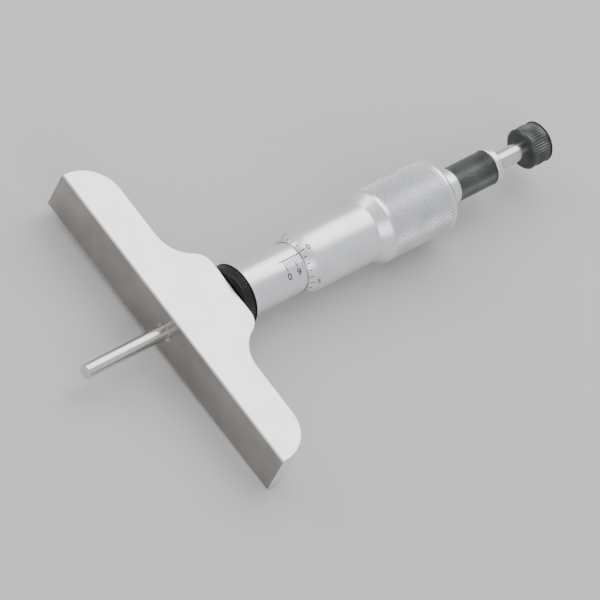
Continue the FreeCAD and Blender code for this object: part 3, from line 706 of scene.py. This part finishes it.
def number(shape, text, x, y, height):
    """A number with its middle at x and y in mm, upright when X points right."""
    curve = bpy.data.curves.new("number", "FONT")
    curve.body = text
    curve.size = height * 1.38 * MM
    curve.align_x, curve.align_y = "CENTER", "CENTER"
    curve.extrude = (PROUD - SUNK) / 2 * MM
    curve.space_character = 1.1
    curve.offset = 0.02 * height * MM
    maker = link("number", curve)
    bpy.context.view_layer.update()
    mesh = bpy.data.meshes.new_from_object(maker.evaluated_get(bpy.context.evaluated_depsgraph_get()))
    bpy.data.objects.remove(maker)
    digits = bmesh.new()
    digits.from_mesh(mesh)
    bpy.data.meshes.remove(mesh)
    bmesh.ops.remove_doubles(digits, verts=digits.verts, dist=0.0005 * MM)
    across = [point.co.x for point in digits.verts]
    upward = [point.co.y for point in digits.verts]
    middle_x = (min(across) + max(across)) / 2
    middle_y = (min(upward) + max(upward)) / 2
    to_middle = (-middle_x, -middle_y, (PROUD + SUNK) / 2 * MM)
    bmesh.ops.translate(digits, verts=digits.verts, vec=to_middle)
    for slice_at in range(-5, 6):
        everything = digits.verts[:] + digits.edges[:] + digits.faces[:]
        cut_place = (0, slice_at * 0.2 * MM, 0)
        bmesh.ops.bisect_plane(digits, geom=everything, plane_co=cut_place, plane_no=(0, 1, 0))
    bmesh.ops.translate(digits, verts=digits.verts, vec=(x * MM, y * MM, 0))
    bmesh.ops.recalc_face_normals(digits, faces=digits.faces)
    held = bpy.data.meshes.new("digits")
    digits.to_mesh(held)
    digits.free()
    shape.from_mesh(held)
    bpy.data.meshes.remove(held)


def wrap(verts, radius_at, turn=0.0):
    """Bends flat marks round the screw: y becomes the way round, z the height."""
    for point in verts:
        radius = radius_at(point.co.x / MM)
        angle = turn + point.co.y / MM / radius
        away = radius * MM + point.co.z
        point.co.y, point.co.z = away * math.sin(angle), away * math.cos(angle)


# %% Mark the sleeve
ZERO_LINE, LINE_STEP = SLEEVE_REAR - 1.045, 0.635
sleeve_marks = bmesh.new()
scale_end = ZERO_LINE - 40 * LINE_STEP
bar(sleeve_marks, (ZERO_LINE + scale_end - 0.6) / 2, 0, ZERO_LINE - scale_end + 1.4, 0.20, 1)
for line in range(41):
    length = 2.5 if line % 4 == 0 else 1.35
    bar(sleeve_marks, ZERO_LINE - line * LINE_STEP, -length / 2, 0.20, length, 5)
for tenth in range(11):
    number(sleeve_marks, str(tenth % 10), ZERO_LINE - tenth * 4 * LINE_STEP, -3.55, 1.55)
wrap(sleeve_marks.verts, lambda along: SLEEVE_RADIUS)
finish(sleeve_marks, "sleeve_marks", "scale", None, [black_lacquer])


# %% Mark the thimble's bevel
BEVEL_LENGTH, BEVEL_LIP, BARREL_RADIUS = 3.0, 5.85, 6.7


def bevel_radius(along):
    """The radius of the thimble's bevel at a place along the screw, in mm."""
    share = (along - THIMBLE_EDGE) / BEVEL_LENGTH
    return BEVEL_LIP + (BARREL_RADIUS - BEVEL_LIP) * min(max(share, 0), 1)


thimble_marks = bmesh.new()
for division in range(25):
    fifth = division % 5 == 0
    length = 1.25 if fifth else 0.85
    mark = bmesh.new()
    bar(mark, THIMBLE_EDGE + 0.12 + length / 2, 0, length, 0.20, 0)
    if fifth:
        number(mark, str(division), THIMBLE_EDGE + 2.2, 0, 1.2)
    wrap(mark.verts, bevel_radius, -division * 2 * math.pi / 25)
    held = bpy.data.meshes.new("mark")
    mark.to_mesh(held)
    mark.free()
    thimble_marks.from_mesh(held)
    bpy.data.meshes.remove(held)
finish(thimble_marks, "thimble_marks", "head", None, [black_lacquer])


# %% [markdown]
# ## The thimble
#
# The thimble is one turned piece: the graduated bevel, a plain barrel, a short flare and
# the larger grip with its knurl between two plain rims. Inside it has the bore for the
# sleeve, the taper that the screw drives, and the recess of its nut.

# %% Turn and knurl the thimble
GRIP_START = THIMBLE_REAR - GRIP_LENGTH
THIMBLE_STEPS = 128
grip_rows = ring_rows(GRIP_START + 0.9, THIMBLE_REAR - 1.7, GRIP_RADIUS, 0.4)
THIMBLE_BORE, BORE_END, TAPER_END = 5.55, THIMBLE_EDGE + 31.0, THIMBLE_EDGE + 36.0
TAPER_WIDE, TAPER_NARROW, TAIL_HOLE = 4.6, 3.3, 3.05
RECESS, RECESS_FLOOR = 5.0, THIMBLE_REAR - 3.0
REAR_CHAMFER, FLARE = 0.8, 2.5
thimble_shape = turned([
    (THIMBLE_EDGE, THIMBLE_BORE), (THIMBLE_EDGE, BEVEL_LIP),
    (THIMBLE_EDGE + BEVEL_LENGTH, BARREL_RADIUS), (GRIP_START - FLARE, BARREL_RADIUS),
    (GRIP_START, GRIP_RADIUS), (GRIP_START + 0.75, GRIP_RADIUS),
    *grip_rows,
    (THIMBLE_REAR - 1.55, GRIP_RADIUS), (THIMBLE_REAR - REAR_CHAMFER, GRIP_RADIUS),
    (THIMBLE_REAR, GRIP_RADIUS - REAR_CHAMFER), (THIMBLE_REAR, RECESS),
    (RECESS_FLOOR, RECESS), (RECESS_FLOOR, TAIL_HOLE),
    (TAPER_END, TAIL_HOLE), (TAPER_END, TAPER_NARROW),
    (BORE_END, TAPER_WIDE), (BORE_END, THIMBLE_BORE),
], THIMBLE_STEPS)
round_rims(thimble_shape, 0.08, 5.2)
smooth(thimble_shape)
knurl(thimble_shape, grip_rows, THIMBLE_STEPS, 0.2)
for face in thimble_shape.faces:
    if grip_rows[0][0] < face.calc_center_median().x / MM < grip_rows[-1][0] and not face.smooth:
        face.material_index = 1
finish(
    thimble_shape, "thimble_shell", "head", "thimble",
    [finishes["satin_chrome"], finishes["knurled_chrome"]],
)


# %% [markdown]
# ## The cap and the ratchet knob
#
# The cap clamps the rod's nuts and houses the ratchet. It has a bright collar, a knurled
# band painted dark greenish as a painted reflection, and a bright rim. Behind it the ratchet
# knob sits on a bright neck: its grip has a straight knurl and is painted dark as a painted
# reflection, and its stem runs into the cap with two flats that turn the driver.

# %% Turn and knurl the cap
CAP_STEPS = 96
COLLAR_END, BAND_END = THIMBLE_REAR + 4.4, CAP_REAR - 1.6
BAND_RADIUS = CAP_RADIUS - 0.15
band_rows = ring_rows(COLLAR_END + 0.15, BAND_END - 0.15, BAND_RADIUS, 0.25)
CAP_TAIL, NUT_ROOM, RATCHET_ROOM, REAR_RIM = 3.0, 3.1, 3.2, 0.3
ROOM_FRONT, WEB_FRONT, WEB_REAR = CAP_REAR - 14.0, CAP_REAR - 8.6, CAP_REAR - 7.4
cap_shape = turned([
    (CAP_FRONT, CAP_TAIL), (CAP_FRONT, CAP_RADIUS - 0.1), (CAP_FRONT + 0.1, CAP_RADIUS),
    (COLLAR_END - 0.15, CAP_RADIUS), (COLLAR_END, CAP_RADIUS - 0.15), (COLLAR_END, BAND_RADIUS),
    *band_rows,
    (BAND_END, BAND_RADIUS), (BAND_END, CAP_RADIUS - 0.15), (BAND_END + 0.15, CAP_RADIUS),
    (CAP_REAR - REAR_RIM, CAP_RADIUS), (CAP_REAR, CAP_RADIUS - REAR_RIM),
    (CAP_REAR, RATCHET_ROOM), (WEB_REAR, RATCHET_ROOM), (WEB_REAR, 0),
    (WEB_FRONT, 0), (WEB_FRONT, NUT_ROOM), (ROOM_FRONT, NUT_ROOM), (ROOM_FRONT, CAP_TAIL),
], CAP_STEPS)
round_rims(cap_shape, 0.05, 3.4)
smooth(cap_shape)
knurl(cap_shape, band_rows, CAP_STEPS, 0.13)
# The knurled band takes the dark steel, a painted dark reflection.
for face in cap_shape.faces:
    middle = face.calc_center_median() / MM
    if COLLAR_END + 0.01 < middle.x < BAND_END - 0.01 and middle.yz.length > 3.3:
        face.material_index = 1
finish(
    cap_shape, "cap_shell", "head", "cap",
    [finishes["satin_chrome"], finishes["dark_steel"]],
)


# %% Turn and knurl the ratchet knob
KNOB_STEPS = 96
KNOB_START, NECK_START = KNOB_END - 5.6, KNOB_END - 13.5
knob_rows = ring_rows(KNOB_START + 0.6, KNOB_END - 0.6, KNOB_RADIUS, 4.4)
STEM, NECK, TAP, DISH, KNOB_CHAMFER = 1.25, 2.0, 0.6, 2.8, 0.5
FLATS_END, TAP_END, DISH_FLOOR = KNOB_FRONT + 3.5, KNOB_FRONT + 2.5, KNOB_END - 0.4
knob_shape = turned([
    (KNOB_FRONT, TAP), (KNOB_FRONT, STEM), (FLATS_END, STEM), (NECK_START, STEM),
    (NECK_START, NECK - 0.1), (NECK_START + 0.1, NECK), (KNOB_START, NECK),
    (KNOB_START, KNOB_RADIUS - KNOB_CHAMFER), (KNOB_START + KNOB_CHAMFER, KNOB_RADIUS),
    *knob_rows,
    (KNOB_END - KNOB_CHAMFER, KNOB_RADIUS), (KNOB_END, KNOB_RADIUS - KNOB_CHAMFER),
    (KNOB_END, DISH), (DISH_FLOOR, DISH), (DISH_FLOOR, 0), (TAP_END, 0), (TAP_END, TAP),
], KNOB_STEPS)
HALF_FLATS = 0.95 * MM
for point in knob_shape.verts:
    if point.co.x < (FLATS_END + 0.01) * MM and point.co.yz.length > 0.9 * MM:
        point.co.z = max(-HALF_FLATS, min(HALF_FLATS, point.co.z))
round_rims(knob_shape, 0.06, 2.5)
smooth(knob_shape)
knurl(knob_shape, knob_rows, KNOB_STEPS, 0.22, crossed=False)
# The knob's grip takes the dark steel, a painted dark reflection.
for face in knob_shape.faces:
    if face.calc_center_median().x > (KNOB_START - 0.001) * MM:
        face.material_index = 1
finish(
    knob_shape, "knob_grip", "knob", "ratchet_knob",
    [finishes["ground_steel"], finishes["dark_steel"]],
)


# %% [markdown]
# ## The parts that stay
#
# The rod, the screw, the barrel and the ratchet's inner parts are already the right shape.
# They keep their own meshes and only take a finish.

# %% Finish the parts that stay
KEPT = {
    "ground_steel": ["measuring_rod", "lock_roller"],
    "satin_chrome": ["barrel", "cap_gland"],
    "hardened_steel": [
        "spindle", "thimble_nut", "rod_adjusting_nut", "rod_lock_nut",
        "ratchet_ring", "ratchet_driver", "ratchet_spring", "spring_washer",
    ],
    "dark_steel": ["adjusting_nut", "stem_screw"],
    "bronze": ["lock_bush"],
}
for name, nodes in KEPT.items():
    for node in nodes:
        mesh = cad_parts[node].data
        mesh.materials.clear()
        mesh.materials.append(finishes[name])
print("kept parts:", sum(len(nodes) for nodes in KEPT.values()))
